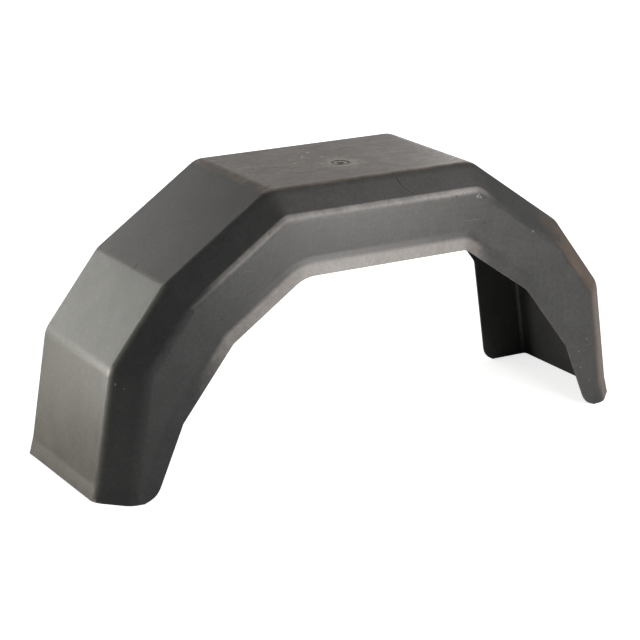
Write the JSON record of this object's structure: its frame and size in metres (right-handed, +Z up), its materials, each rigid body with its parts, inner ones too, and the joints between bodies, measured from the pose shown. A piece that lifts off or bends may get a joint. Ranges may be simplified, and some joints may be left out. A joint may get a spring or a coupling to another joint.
{
  "type": "trailer mudguard",
  "caption": "Arched thermoplastic trailer mudguard with flat tread panels, a chamfered outboard skirt with a flared lip, and a plain inboard wall.",
  "frame": {"origin": "on the floor under the middle of the guard, centre of the bounding box's base", "axes": "+X along the guard's length, +Y towards the trailer (inboard wall), +Z up; the outboard skirt faces -Y"},
  "size_m": [0.77, 0.222, 0.3492],
  "materials": {
    "moulding": "fine-grained black thermoplastic, faded brownish on the top panel"
  },
  "bodies": {
    "root": {"mudguard": "moulding"}
  },
  "joints": []
}
